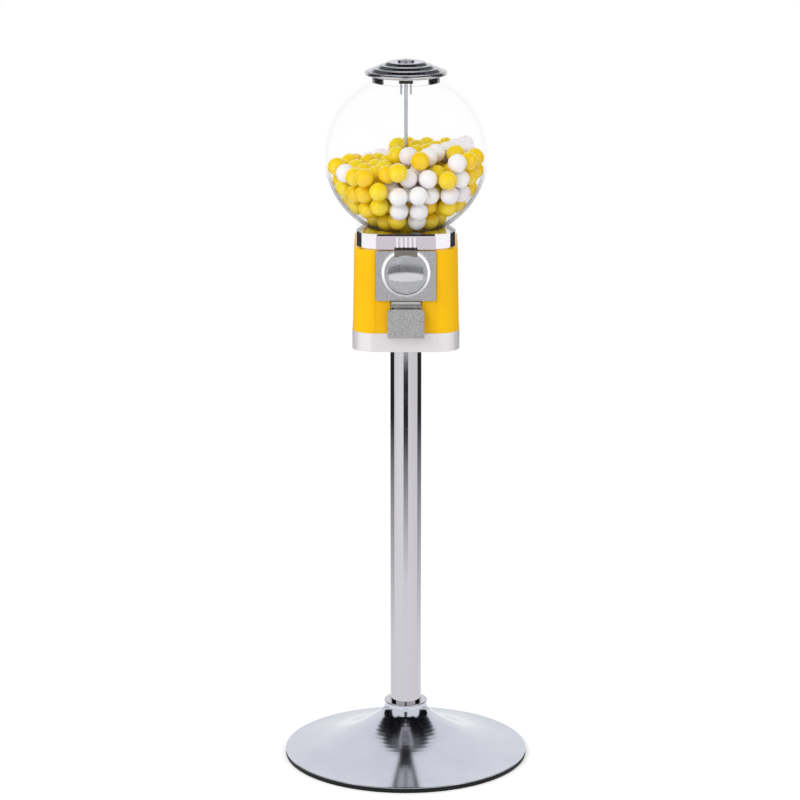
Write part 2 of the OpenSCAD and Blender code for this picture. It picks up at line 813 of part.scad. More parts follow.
housing_screw_r = 1.5;
housing_screw_in = 8;
housing_screws_n = 4;
window_gap = 1.5;
window_x = pinion_r + addendum + 2 * window_gap;

module at_housing_screws() {
    for (i = [0 : housing_screws_n - 1])
        rotate(45 + i * 360 / housing_screws_n) translate([housing_screw_at, 0, 0]) children();
}

module wheel_housing() {
    color("gainsboro") difference() {
        union() {
            ring(housing_r, housing_in_r, housing_floor_z0, housing_z1);
            ring(housing_flange_r, housing_in_r, housing_z1 - housing_flange_t, housing_z1);
            translate([0, 0, housing_floor_z0]) cylinder(r = housing_in_r + 1, h = housing_t);
            translate([0, 0, housing_floor_z0]) cylinder(r = spigot_r, h = spigot_z1 - housing_floor_z0);
        }
        translate([0, 0, housing_floor_z0 - cut])
            cylinder(r = rod_r + nest_gap, h = spigot_z1 - housing_floor_z0 + 2 * cut);
        translate([hole_x, hole_y, housing_floor_z0 - cut]) cylinder(r = drop_hole_r, h = housing_t + 2 * cut);
        translate([-window_x, pinion_y0 - window_gap, housing_floor_z0 - cut])
            cube([2 * window_x, shaft_end_y - pinion_y0 + 2 * window_gap, housing_t + 2 * cut]);
        rod_y(0, axis_z, shaft_r + move_gap, -housing_r - cut, shaft_end_y);
        at_housing_screws() translate([0, 0, housing_z1 - housing_flange_t - cut])
            cylinder(r = housing_screw_r + seat_gap, h = housing_flange_t + 2 * cut, $fn = fine);
    }
}

module housing_screws() {
    head_z = housing_z1 - housing_flange_t;
    color("silver") at_housing_screws() {
        translate([0, 0, head_z - 1.6]) cylinder(r = 2.6, h = 1.6, $fn = fine);
        translate([0, 0, head_z]) cylinder(r = housing_screw_r, h = housing_flange_t + housing_screw_in, $fn = fine);
    }
}

// Half the width of a tooth at a height above its pitch line
function tooth_half(height) = tooth_w / 2 - height * tan(pressure);

module product_wheel() {
    gear_in = gear_at - gear_w / 2;
    root_z = wheel_z0 + addendum + dedendum;
    color("ivory") {
        difference() {
            translate([0, 0, wheel_z0]) cylinder(r = wheel_r, h = wheel_h);
            translate([0, 0, wheel_z0 - cut]) cylinder(r = spigot_r + run_gap, h = wheel_h + 2 * cut);
            for (i = [0 : pocket_count - 1]) rotate(i * 360 / pocket_count)
                translate([pocket_at, 0, wheel_z0 - cut]) cylinder(r = pocket_r, h = wheel_h + 2 * cut);
            translate([0, 0, wheel_z0 - cut]) difference() {
                cylinder(r = wheel_r + cut, h = root_z - wheel_z0 + cut);
                translate([0, 0, -cut]) cylinder(r = gear_in, h = root_z - wheel_z0 + 3 * cut);
            }
        }
        for (i = [0 : wheel_teeth - 1]) rotate(i * 360 / wheel_teeth)
            translate([gear_in - 0.3, 0, wheel_z0 + addendum]) rotate([90, 0, 90])
                linear_extrude(gear_w + 0.3) polygon([
                    [-tooth_half(addendum), -addendum], [tooth_half(addendum), -addendum],
                    [tooth_half(-dedendum), dedendum + 0.2], [-tooth_half(-dedendum), dedendum + 0.2]
                ]);
    }
}

module drive_pinion() {
    root_r = pinion_r - dedendum + 0.2;
    first = 180 / pinion_teeth;
    color("goldenrod") front_plate(pinion_y0, pinion_y0 + pinion_w) difference() {
        union() {
            circle(root_r);
            for (i = [0 : pinion_teeth - 1]) rotate(90 + first + i * 360 / pinion_teeth)
                polygon([
                    [root_r - 0.5, -tooth_half(-dedendum)], [pinion_r + addendum, -tooth_half(addendum)],
                    [pinion_r + addendum, tooth_half(addendum)], [root_r - 0.5, tooth_half(-dedendum)]
                ]);
        }
        circle(shaft_r + seat_gap);
    }
}

module hub_washer() {
    color("silver") ring(hub_washer_r, rod_r + nest_gap, spigot_z1, cover_z0);
}

// The cover keeps the heap off the pocket that stands over the drop hole
cover_half = 30;
cover_r = housing_in_r - move_gap;

module drop_cover() {
    color("gainsboro") translate([0, 0, cover_z0]) difference() {
        union() {
            cylinder(r = cover_ring_r, h = cover_t);
            rotate(drop_angle - cover_half) rotate_extrude(angle = 2 * cover_half)
                translate([cover_ring_r - 2, 0]) square([cover_r - cover_ring_r + 2, cover_t]);
        }
        translate([0, 0, -cut]) cylinder(r = rod_r + nest_gap, h = cover_t + 2 * cut);
    }
}

brush_w = 4;
brush_from = 14;

module wiper_brush() {
    brush_z0 = wheel_z1 + nest_gap;
    color("saddlebrown") rotate(drop_angle - cover_half)
        translate([brush_from, 0.5, brush_z0]) cube([cover_r - brush_from - 2, brush_w, cover_z0 - brush_z0]);
}

module hub_nut() {
    color("silver") difference() {
        translate([0, 0, cover_z0 + cover_t]) hex_head(hub_nut_r, hub_nut_h);
        translate([0, 0, cover_z0 + cover_t - cut]) cylinder(r = rod_r + seat_gap, h = hub_nut_h + 2 * cut);
    }
}

// Chute, frame and flap --------------------------------------------------

function chute_z(s) = chute_head_z - chute_fall * s;

// Side of the chute: the floor runs down, the head stands up to the housing
module chute_side(depth_below, rise, head_rise) {
    polygon([
        [-chute_back, chute_z(-chute_back) - depth_below], [chute_run, chute_z(chute_run) - depth_below],
        [chute_run, chute_z(chute_run) + rise], [chute_back, chute_z(chute_back) + rise],
        [chute_back, chute_z(0) + head_rise], [-chute_back, chute_z(0) + head_rise]
    ]);
}

module chute() {
    out_w = chute_w + 2 * chute_t;
    head_rise = housing_floor_z0 - chute_head_z;
    color("silver") translate([hole_x, hole_y, 0]) rotate(chute_dir) rotate([90, 0, 0]) {
        difference() {
            translate([0, 0, -out_w / 2]) linear_extrude(out_w) chute_side(chute_t, chute_wall_h, head_rise);
            translate([chute_t, 0, -chute_w / 2]) linear_extrude(chute_w)
                polygon([
                    [-chute_back, chute_z(-chute_back + chute_t)],
                    [chute_run + cut, chute_z(chute_run + cut + chute_t)],
                    [chute_run + cut, housing_floor_z0 + cut], [-chute_back, housing_floor_z0 + cut]
                ]);
        }
    }
}

module chute_frame() {
    depth = chute_end_y + 1 - cheek_y;
    color("darkgray") {
        translate([-cheek_x - cheek_t, lip_y, frame_lip_z1 - lip_t])
            cube([2 * (cheek_x + cheek_t), field_y - nest_gap - lip_y, lip_t]);
        difference() {
            for (side = [-1, 1]) translate([side * (cheek_x + cheek_t / 2) - cheek_t / 2, 0, 0])
                rotate([90, 0, 90]) linear_extrude(cheek_t) polygon([
                    [cheek_y, sill_z0], [chute_end_y, sill_z0], [chute_end_y, frame_lip_z1],
                    [lip_y, frame_lip_z1], [hinge_y - pin_r - 1.2, hinge_z + 2],
                    [cheek_y, hinge_z - 6]
                ]);
            translate([-cheek_x - 3 * cheek_t, hinge_y, hinge_z]) rotate([0, 90, 0])
                cylinder(r = pin_r + seat_gap, h = 2 * cheek_x + 6 * cheek_t);
        }
        translate([-cheek_x - cheek_t, cheek_y, sill_z0]) cube([2 * (cheek_x + cheek_t), chute_end_y - cheek_y, sill_t]);
    }
}

module flap_pin() {
    pin_out = cheek_x + cheek_t + 1;
    color("silver") translate([-pin_out, hinge_y, hinge_z]) rotate([0, 90, 0]) cylinder(r = pin_r, h = 2 * pin_out);
}

module flap_door() {
    barrel_w = 2 * (cheek_x - move_gap);
    shoulder = 3;
    color("darkgray") difference() {
        union() {
            translate([0, flap_y1, 0]) rotate([90, 0, 0]) linear_extrude(flap_t) polygon([
                [-flap_w / 2, flap_z0], [flap_w / 2, flap_z0], [flap_w / 2, flap_z1 - shoulder],
                [flap_w / 2 - shoulder, flap_z1], [-flap_w / 2 + shoulder, flap_z1],
                [-flap_w / 2, flap_z1 - shoulder]
            ]);
            for (side = [-1, 1])
                translate([side * (flap_w / 2 - flap_flange_t / 2) - flap_flange_t / 2, flap_y0, flap_z0])
                    cube([flap_flange_t, flap_t + flap_flange_d, flap_h - shoulder]);
            translate([-tongue_w / 2, 0, 0]) rotate([90, 0, 90]) linear_extrude(tongue_w) polygon([
                [hinge_y, hinge_z - barrel_r + 0.2], [flap_y1, flap_z1 - 3], [flap_y0, flap_z1 - 3],
                [flap_y0, flap_z1], [hinge_y - pin_r - 1, hinge_z + 0.6], [hinge_y, hinge_z + 0.6]
            ]);
            translate([-barrel_w / 2, hinge_y, hinge_z]) rotate([0, 90, 0]) cylinder(r = barrel_r, h = barrel_w);
        }
        translate([-barrel_w, hinge_y, hinge_z]) rotate([0, 90, 0])
            cylinder(r = pin_r + run_gap, h = 2 * barrel_w);
    }
}

// Coin mechanism ---------------------------------------------------------

module coin_face_plate() {
    plate_corner = 3;
    plate_h = plate_z1 - plate_z0;
    color("darkgray") difference() {
        union() {
            translate([0, 0, (plate_z0 + plate_z1) / 2 - axis_z]) front_plate(plate_y, field_y)
                round_square(plate_w, plate_h, plate_corner);
            front_plate(bezel_y, plate_y + cut) difference() {
                circle(bezel_r);
                circle(bezel_r - bezel_w);
                translate([-guide_w / 2 - nest_gap, guide_z0 - axis_z - nest_gap])
                    square([guide_w + 2 * nest_gap, bezel_r]);
            }
            front_plate(field_y - cut, coin_wheel_y - 0.5) circle(shaft_r + 5);
        }
        rod_y(0, axis_z, shaft_r + run_gap, plate_y - cut, coin_wheel_y + cut);
    }
}

module coin_slot_guide() {
    slot_y1 = disc_y1;
    color("darkgray") difference() {
        translate([-guide_w / 2, guide_y0, guide_z0]) cube([guide_w, plate_y - guide_y0, guide_h]);
        rod_y(0, axis_z, knob_r + nest_gap, disc_y0 - move_gap, plate_y + cut);
        rod_y(0, axis_z, grip_sweep_r + move_gap, guide_y0 - cut, disc_y0);
        translate([-coin_d / 2 - coin_gap, slot_y1 - coin_slot_t, guide_z0 - cut])
            cube([coin_d + 2 * coin_gap, coin_slot_t, guide_h + 2 * cut]);
        translate([-coin_d / 4, guide_y0 - cut, guide_z0 + guide_h / 2])
            cube([coin_d / 2, cut + guide_recess, guide_h / 3]);
    }
}

// The grip's face: two flat arcs that meet two short ends
module grip_outline(half_w, half_h, end_h) {
    bow = half_h - end_h;
    arc_r = (pow(half_w, 2) + pow(bow, 2)) / (2 * bow);
    intersection() {
        translate([0, half_h - arc_r]) circle(arc_r, $fn = 180);
        translate([0, arc_r - half_h]) circle(arc_r, $fn = 180);
        square([2 * half_w, 2 * half_h], center = true);
    }
}

module knob() {
    socket_y = shaft_front_y - nest_gap;
    pocket_half = coin_d / 2 + coin_gap;
    color("darkgray") difference() {
        union() {
            front_plate(disc_y0, disc_y1) circle(knob_r);
            front_plate(disc_y0 - grip_root_h, disc_y0 + cut)
                grip_outline(grip_w / 2, grip_h / 2 + grip_root_grow, grip_end_h / 2 + grip_root_grow);
            front_plate(grip_y + grip_bevel, disc_y0 + cut) grip_outline(grip_w / 2, grip_h / 2, grip_end_h / 2);
            front_plate(grip_y, disc_y0 + cut)
                grip_outline(grip_w / 2 - grip_bevel, grip_h / 2 - grip_bevel, grip_end_h / 2 - grip_bevel);
        }
        rod_y(0, axis_z, shaft_r + seat_gap, socket_y, disc_y1 + cut);
        translate([-pocket_half, disc_y1 - coin_slot_t, axis_z + knob_r - coin_d])
            cube([2 * pocket_half, coin_slot_t + cut, coin_d + cut]);
    }
}

module knob_shaft() {
    color("silver") rod_y(0, axis_z, shaft_r, shaft_front_y, shaft_end_y);
}

module coin_wheel() {
    notch_half = coin_d / 2 + coin_gap;
    color("goldenrod") front_plate(coin_wheel_y, coin_wheel_y + coin_wheel_t) difference() {
        circle(coin_wheel_r);
        circle(shaft_r + seat_gap);
        translate([0, coin_wheel_r - coin_d / 2 + 6]) circle(notch_half);
        for (side = [-1, 1]) translate([side * 16, -4]) circle(4, $fn = fine);
    }
}

module ratchet_wheel() {
    step = 360 / ratchet_teeth;
    color("goldenrod") front_plate(ratchet_y, ratchet_y + ratchet_t) difference() {
        polygon([for (i = [0 : ratchet_teeth - 1], edge = [0, 1])
            let (a = -i * step, r = edge == 0 ? ratchet_r : ratchet_root_r)
            [r * cos(a), r * sin(a)]]);
        circle(shaft_r + seat_gap);
    }
}

// The pawl reaches from its pin to just above the ratchet's crests
pawl_tip_r = ratchet_r + pawl_ride;
pawl_tip_a = 140;
pawl_tip = [pawl_tip_r * cos(pawl_tip_a), pawl_tip_r * sin(pawl_tip_a)];
pawl_nose_h = 4;
pawl_nose_l = 6;
pawl_arm = 2.6;
pawl_eye_r = 3.4;
pawl_shoulder = 6;

module pawl() {
    tip = pawl_tip;
    color("slategray") difference() {
        union() {
            rod_y(pawl_x, axis_z + pawl_up, pawl_eye_r, ratchet_y, ratchet_y + pawl_t);
            front_plate(ratchet_y, ratchet_y + pawl_t) polygon([
                [pawl_x - pawl_arm, pawl_up - 1], [pawl_x - pawl_arm, pawl_up + pawl_shoulder],
                tip + [-pawl_nose_l, pawl_nose_h], tip + [0, pawl_nose_h], tip + [0, pawl_ride],
                [pawl_x + pawl_arm, pawl_up - 1]
            ]);
        }
        rod_y(pawl_x, axis_z + pawl_up, pawl_pin_r + run_gap, ratchet_y - cut, ratchet_y + pawl_t + cut);
    }
}

module pawl_pin() {
    color("silver") rod_y(pawl_x, axis_z + pawl_up, pawl_pin_r, ratchet_y - 0.5, frame_y + frame_t);
}

module pawl_spring() {
    base_up = pawl_tip[1] + pawl_nose_h;
    turn_h = (frame_up - base_up - bracket_t) / spring_turns;
    color("silver") for (i = [0 : spring_turns - 1])
        translate([pawl_tip[0] - spring_r - 0.4, ratchet_y + pawl_t / 2, axis_z + base_up + turn_h * (i + 0.5)])
            rotate_extrude($fn = 48) translate([spring_r - spring_wire / 2, 0]) circle(d = spring_wire, $fn = 16);
}

bracket_t = 1.2;
module at_posts() {
    for (x = [-post_x, post_x], z = [-post_down, post_up]) translate([x, 0, z]) children();
}

module back_frame() {
    color("lightslategray") difference() {
        union() {
            front_plate(frame_y, frame_y + frame_t)
                translate([0, (frame_up - frame_down) / 2])
                    round_square(2 * frame_x, frame_up + frame_down, 4);
            front_plate(frame_y, frame_boss_y) circle(frame_boss_r);
            translate([pawl_tip[0] - 2 * spring_r - 1.4, ratchet_y - 0.5, axis_z + frame_up - bracket_t])
                cube([2 * spring_r + 2, frame_y - ratchet_y + 1, bracket_t]);
        }
        rod_y(0, axis_z, shaft_r + run_gap, frame_y - cut, frame_y + frame_t + 4);
        rod_y(pawl_x, axis_z + pawl_up, pawl_pin_r + seat_gap, frame_y - cut, frame_y + frame_t + cut);
        at_posts() rod_y(0, axis_z, mech_screw_r + seat_gap, frame_y - cut, frame_y + frame_t + cut);
    }
}

module frame_posts() {
    color("silver") at_posts() difference() {
        rod_y(0, axis_z, post_r, field_y, frame_y);
        rod_y(0, axis_z, mech_screw_r + seat_gap, field_y + 3, frame_y + cut);
    }
}

module mech_screws() {
    color("silver") at_posts() {
        rod_y(0, axis_z, mech_screw_r, field_y + 4, frame_y + frame_t);
        rod_y(0, axis_z, mech_screw_r * 1.9, frame_y + frame_t, frame_y + frame_t + 1.6);
    }
}

module shaft_clip() {
    color("silver") front_plate(clip_y, clip_y + clip_t) difference() {
        circle(shaft_r + 2.2);
        circle(shaft_r + seat_gap);
        polygon([[0, 0], [-5, -14], [5, -14]]);
    }
}

// Gumballs ---------------------------------------------------------------

// Spacing while the heap settles, a little over the ball's own size
heap_pitch = ball_d * 1.025;
heap_room = globe_in_r - ball_r - 0.3;
heap_top = 8;
heap_tilt = 0.14;
heap_fall = 0.16;
heap_wave = ball_d / 5;
heap_shake = ball_d / 7;
heap_rod = rod_r + ball_r + 0.4;

// Total of a list of vectors
function total(v) = len(v) == 0 ? [0, 0, 0] : [for (x = v) 1] * v;

// Keeps a ball's middle inside the globe and off the centre rod
function inside_globe(p) = norm(p) > heap_room ? p * heap_room / norm(p) : p;
function off_rod(p) = let (flat = [p[0], p[1]], far = norm(flat))
    far < heap_rod ? [p[0] * heap_rod / far, p[1] * heap_rod / far, p[2]] : p;
function held(p) = off_rod(inside_globe(off_rod(p)));

// Height of the heap over a place, measured from the globe's middle
function heap_height(x, y) = heap_top + heap_tilt * x - heap_fall * (x * x + y * y) / globe_in_r
    + heap_wave * (sin(x * 4 + 40) + cos(y * 3 - x)) / 2;

// Close layers of balls, a little disturbed, below the heap's surface
layer_h = heap_pitch * sqrt(2 / 3);
row_w = heap_pitch * sqrt(3) / 2;
reach_n = ceil(globe_in_r / row_w) + 1;
function heap_start() = [
    for (k = [-reach_n : reach_n], j = [-reach_n : reach_n], i = [-reach_n : reach_n])
        let (x = (i + (j + k) / 2 - floor((j + k) / 2)) * heap_pitch + heap_shake,
             y = (j + k / 3) * row_w + heap_shake,
             z = k * layer_h + heap_shake,
             p = [x, y, z],
             shake = rands(-heap_shake, heap_shake, 3, 7 + i * 31 + j * 97 + k * 193))
        if (norm(p) < heap_room + heap_shake && z < heap_height(x, y) && norm([x, y]) > heap_rod * 0.45)
            held(p + shake)
];
function neighbours(p, reach) = [for (i = [0 : len(p) - 1])
    [for (j = [0 : len(p) - 1]) if (j != i && norm(p[i] - p[j]) < reach) j]];
function pushed(p, near, sink) = [for (i = [0 : len(p) - 1])
    let (c = p[i],
         pushes = [for (j = near[i]) let (v = c - p[j], n = norm(v))
             if (n < heap_pitch) v * (0.48 * (heap_pitch - n) / max(n, 0.01))])
    held(c + total(pushes) - [0, 0, sink])];
function steps(p, near, sink, n) = n == 0 ? p : steps(pushed(p, near, sink), near, sink, n - 1);
function settled(p, sink, rounds) = rounds == 0 ? p
    : settled(steps(p, neighbours(p, heap_pitch * 1.25), sink, 10), sink, rounds - 1);
function heap() = settled(settled(heap_start(), 0.25, 4), 0, 6);

// White balls lie together in a few places: middle and radius of each, as shares of the globe's radius
white_places = [
    [[0.12, -0.68, -0.36], 0.36], [[-0.8, -0.26, 0.04], 0.24], [[0.5, -0.04, 0.22], 0.26],
    [[-0.08, -0.53, 0.03], 0.2], [[-0.14, 0, 0.17], 0.17], [[0.66, -0.51, -0.07], 0.16],
    [[0.6, -0.47, -0.43], 0.16], [[0.7, 0.26, -0.1], 0.28], [[-0.43, 0.72, -0.26], 0.34],
    [[0.26, 0.81, -0.43], 0.26]
];
function is_white(p) = len([for (w = white_places) if (norm(p / globe_in_r - w[0]) < w[1]) 1]) > 0;
function odd_one(i) = rands(0, 1, 1, 500 + i)[0] < 0.05;

module balls(white) {
    places = heap();
    near = neighbours(places, heap_pitch * 1.2);
    for (i = [0 : len(places) - 1])
        if ((is_white(places[i]) != odd_one(i)) == white) {
            gaps = [for (j = near[i]) norm(places[i] - places[j])];
            r = len(gaps) == 0 ? ball_r : min(ball_r, min(gaps) / 2 - 0.03);
            translate(places[i] + [0, 0, globe_z]) sphere(r, $fn = fine);
        }
}

module gumballs_white() {
    color("whitesmoke") balls(true);
}

module gumballs_yellow() {
    color("gold") balls(false);
}

module gumballs_in_wheel() {
    color("gold") for (i = [0 : pocket_count - 1]) rotate(i * 360 / pocket_count)
        translate([pocket_at, 0, housing_floor_z1 + 0.2 + ball_r]) sphere(ball_r, $fn = fine);
}

base_dish();
base_edge_ring();
ballast_plate();
base_bolt();
base_washer();
pole();
pole_plug();
pole_collar();
top_flange();
flange_bolts();
flange_nuts();
base_pan();
body_shell();
top_plate();
globe_gasket();
globe();
lid_gasket();
lid();
lock_case();
lock_plug();
lock_plate();
lock_screws();
centre_rod();
rod_nut();
rod_washer();
wheel_housing();
housing_screws();
product_wheel();
hub_washer();
drop_cover();
wiper_brush();
hub_nut();
chute();
chute_frame();
flap_door();
flap_pin();
coin_face_plate();
coin_slot_guide();
knob();
knob_shaft();
coin_wheel();
ratchet_wheel();
pawl();
pawl_pin();
pawl_spring();
drive_pinion();
back_frame();
frame_posts();
mech_screws();
shaft_clip();
gumballs_white();
gumballs_yellow();
gumballs_in_wheel();
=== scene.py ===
"""Looks of a gumball machine on a pedestal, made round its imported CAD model."""
import math

import bmesh
import bpy
import numpy as np
from mathutils import Euler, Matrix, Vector


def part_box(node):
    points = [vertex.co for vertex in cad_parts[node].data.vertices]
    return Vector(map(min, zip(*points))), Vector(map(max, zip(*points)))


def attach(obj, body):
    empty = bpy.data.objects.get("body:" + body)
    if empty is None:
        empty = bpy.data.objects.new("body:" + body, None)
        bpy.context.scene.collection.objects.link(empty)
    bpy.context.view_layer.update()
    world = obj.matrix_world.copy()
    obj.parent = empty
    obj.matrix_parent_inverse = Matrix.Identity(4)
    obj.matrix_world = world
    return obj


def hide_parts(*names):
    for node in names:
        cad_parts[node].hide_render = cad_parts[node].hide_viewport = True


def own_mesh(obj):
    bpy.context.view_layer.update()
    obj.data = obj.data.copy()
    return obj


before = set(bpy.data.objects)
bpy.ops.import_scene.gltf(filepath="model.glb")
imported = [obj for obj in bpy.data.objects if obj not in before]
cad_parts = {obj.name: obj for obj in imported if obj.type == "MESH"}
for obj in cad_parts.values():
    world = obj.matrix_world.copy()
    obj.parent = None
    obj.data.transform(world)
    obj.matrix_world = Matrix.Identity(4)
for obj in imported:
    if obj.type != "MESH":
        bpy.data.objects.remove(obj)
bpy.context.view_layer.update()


# Colours and node trees ---------------------------------------------------

def srgb(red, green, blue):
    """A colour given as 0-255 screen values, as linear RGBA."""
    def linear(value):
        share = value / 255
        return share / 12.92 if share <= 0.04045 else ((share + 0.055) / 1.055) ** 2.4
    return (linear(red), linear(green), linear(blue), 1.0)


class Finish:
    """A Principled material that is built up by short calls."""

    def __init__(self, name, color, metallic=0.0, roughness=0.5, **sockets):
        self.material = bpy.data.materials.new(name)
        self.material.use_nodes = True
        self.tree = self.material.node_tree
        self.shader = self.tree.nodes["Principled BSDF"]
        self.place = self.node("ShaderNodeTexCoord").outputs["Object"]
        self.normal = None
        self.set("Base Color", color)
        self.set("Metallic", metallic)
        self.set("Roughness", roughness)
        for socket, value in sockets.items():
            self.set(socket.replace("_", " "), value)

    def set(self, socket, value):
        self.shader.inputs[socket].default_value = value

    def node(self, kind, **settings):
        made = self.tree.nodes.new(kind)
        for name, value in settings.items():
            setattr(made, name, value)
        return made

    def feed(self, target, source):
        """Links a socket, or sets a number or colour."""
        if isinstance(source, bpy.types.NodeSocket):
            self.tree.links.new(source, target)
        else:
            target.default_value = source

    def math(self, operation, a, b=0.0):
        made = self.node("ShaderNodeMath", operation=operation)
        self.feed(made.inputs[0], a)
        self.feed(made.inputs[1], b)
        return made.outputs[0]

    def fit(self, value, low, high, to_low, to_high):
        """Maps low..high to to_low..to_high, and holds it there."""
        made = self.node("ShaderNodeMapRange")
        for index, entry in enumerate((value, low, high, to_low, to_high)):
            self.feed(made.inputs[index], entry)
        return made.outputs[0]

    def noise(self, size, detail=2.0, roughness=0.5, vector=None, stretch=None):
        """Noise whose features are about size metres wide."""
        if stretch:
            mapping = self.node("ShaderNodeMapping")
            self.feed(mapping.inputs["Vector"], vector or self.place)
            mapping.inputs["Scale"].default_value = stretch
            vector = mapping.outputs[0]
        made = self.node("ShaderNodeTexNoise")
        self.feed(made.inputs["Vector"], vector or self.place)
        made.inputs["Scale"].default_value = 1 / size
        made.inputs["Detail"].default_value = detail
        made.inputs["Roughness"].default_value = roughness
        return made.outputs["Fac"]

    def cells(self, size, feature="SMOOTH_F1", randomness=1.0, vector=None):
        made = self.node("ShaderNodeTexVoronoi", feature=feature)
        self.feed(made.inputs["Vector"], vector or self.place)
        made.inputs["Scale"].default_value = 1 / size
        made.inputs["Randomness"].default_value = randomness
        return made.outputs["Distance"]

    def axis(self, index):
        """One coordinate of the place, in metres: 0 for X, 1 for Y, 2 for Z."""
        split = self.node("ShaderNodeSeparateXYZ")
        self.feed(split.inputs[0], self.place)
        return split.outputs[index]

    def between(self, value, low, high, soft=0.0001):
        """1 where value is between low and high, 0 outside, with narrow soft edges."""
        return self.math("MULTIPLY", self.fit(value, low - soft, low + soft, 0.0, 1.0),
                         self.fit(value, high - soft, high + soft, 1.0, 0.0))

    def turned(self):
        """Radius and height as a vector, for marks that run round the Z axis."""
        split = self.node("ShaderNodeSeparateXYZ")
        self.feed(split.inputs[0], self.place)
        across = self.math("POWER", split.outputs[0], 2.0)
        along = self.math("POWER", split.outputs[1], 2.0)
        radius = self.math("SQRT", self.math("ADD", across, along))
        joined = self.node("ShaderNodeCombineXYZ")
        self.feed(joined.inputs[0], radius)
        self.feed(joined.inputs[2], split.outputs[2])
        return joined.outputs[0]

    def blend(self, factor, first, second):
        made = self.node("ShaderNodeMix", data_type="RGBA")
        self.feed(made.inputs["Factor"], factor)
        self.feed(made.inputs[6], first)
        self.feed(made.inputs[7], second)
        return made.outputs[2]

    def color(self, factor, first, second):
        self.feed(self.shader.inputs["Base Color"], self.blend(factor, first, second))
        return self

    def gloss(self, value, low, high):
        self.feed(self.shader.inputs["Roughness"], self.fit(value, 0.3, 0.7, low, high))
        return self

    def bump(self, height, depth, strength=1.0):
        """Adds a bump of about depth metres over the ones before it."""
        made = self.node("ShaderNodeBump")
        made.inputs["Strength"].default_value = strength
        made.inputs["Distance"].default_value = depth
        self.feed(made.inputs["Height"], height)
        if self.normal:
            self.feed(made.inputs["Normal"], self.normal)
        self.normal = made.outputs[0]
        self.feed(self.shader.inputs["Normal"], self.normal)
        return self


# Materials ----------------------------------------------------------------

def chrome(name, tint, roughness, smudge=0.05, waves=0.00002):
    """Plated steel: a faint unevenness in the sheet, and haze left by polishing."""
    made = Finish(name, tint, metallic=1.0, roughness=roughness)
    haze = made.noise(0.03, detail=4.0)
    fine = made.noise(0.0012, detail=3.0)
    made.gloss(made.math("ADD", made.math("MULTIPLY", haze, 0.7), made.math("MULTIPLY", fine, 0.3)),
               roughness, roughness + smudge)
    made.bump(made.noise(0.045, detail=1.0), waves * 8, 0.4)
    made.bump(made.noise(0.002, detail=2.0), waves, 0.15)
    return made


def head_chrome():
    """The top plate: bright chrome, with a painted lilac-grey reflection on the face of its raised panel and a
    lighter painted reflection on its ribs.
    """
    rib_out = 0.0012
    panel_out = 0.0024
    edge = 0.0003
    made = chrome("head_chrome", srgb(242, 240, 244), 0.05)
    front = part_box("top_plate")[0][1]
    depth = made.axis(1)
    # Painted reflection: by depth alone, the panel's face is painted lilac grey and the ribs in front of it a
    # lighter grey.
    face = made.between(depth, front + rib_out - edge, front + rib_out + panel_out - edge)
    rib = made.between(depth, front - edge, front + rib_out - edge)
    made.color(face, srgb(242, 240, 244), srgb(202, 193, 203))
    colour_so_far = made.shader.inputs["Base Color"].links[0].from_socket
    made.color(rib, colour_so_far, srgb(236, 232, 238))
    return made


def spun_chrome():
    """The base's pressed dish: satin, with the fine rings of spinning."""
    made = Finish("spun_chrome", srgb(200, 203, 215), metallic=1.0, roughness=0.14)
    rings = made.noise(0.0006, detail=2.0, vector=made.turned(), stretch=(1, 1, 0.6))
    cloud = made.noise(0.05, detail=3.0)
    made.color(made.fit(cloud, 0.35, 0.65, 0.0, 1.0), srgb(197, 200, 212), srgb(203, 206, 217))
    made.gloss(made.math("ADD", made.math("MULTIPLY", cloud, 0.4), made.math("MULTIPLY", rings, 0.6)), 0.12, 0.17)
    made.bump(rings, 0.000006, 0.15)
    return made


def hammered_zinc(name, tint, dark, roughness=0.34, pit=0.0017, depth=0.0002):
    """Cast zinc with small round hammer marks, darker in the valleys."""
    made = Finish(name, tint, metallic=1.0, roughness=roughness)
    marks = made.cells(pit)
    small = made.noise(pit * 0.7, detail=2.0)
    valley = made.fit(made.math("ADD", made.math("MULTIPLY", marks, 0.6), made.math("MULTIPLY", small, 0.4)),
                      0.3, 0.58, 0.0, 1.0)
    made.color(valley, tint, dark)
    made.gloss(small, roughness - 0.05, roughness + 0.12)
    made.bump(marks, depth, 0.6)
    return made


def coin_plate():
    """The coin plate: fine hammered zinc, with a polished bezel standing out of it, painted white as a highlight.
    """
    bezel_r = 0.0352
    bezel_w = 0.0034
    bezel_h = 0.008
    made = hammered_zinc("hammered_plate", srgb(206, 206, 209), srgb(170, 170, 174), roughness=0.3, pit=0.0014,
                         depth=0.00005)
    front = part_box("coin_face_plate")[0][1]
    low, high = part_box("knob")
    across = made.math("SUBTRACT", made.axis(0), (low[0] + high[0]) / 2)
    up = made.math("SUBTRACT", made.axis(2), (low[2] + high[2]) / 2)
    far = made.math("SQRT", made.math("ADD", made.math("POWER", across, 2.0), made.math("POWER", up, 2.0)))
    bezel_polish_and_highlight = made.math("MULTIPLY", made.between(far, bezel_r - bezel_w - 0.001, bezel_r + 0.0006),
                      made.between(made.axis(1), front - 0.001, front + bezel_h))
    # Painted highlight: the bezel's white fades towards its lower edge, while its lower roughness is the real
    # polish.
    bezel_polish_and_highlight = made.math("MULTIPLY", bezel_polish_and_highlight, made.fit(up, -bezel_r, 0.0, 0.3, 1.0))
    hammered = made.shader.inputs["Base Color"].links[0].from_socket
    made.color(bezel_polish_and_highlight, hammered, srgb(255, 255, 255))
    rough = made.shader.inputs["Roughness"].links[0].from_socket
    made.feed(made.shader.inputs["Roughness"], made.math(
        "MULTIPLY", rough, made.fit(bezel_polish_and_highlight, 0.0, 1.0, 1.0, 0.25)))
    return made


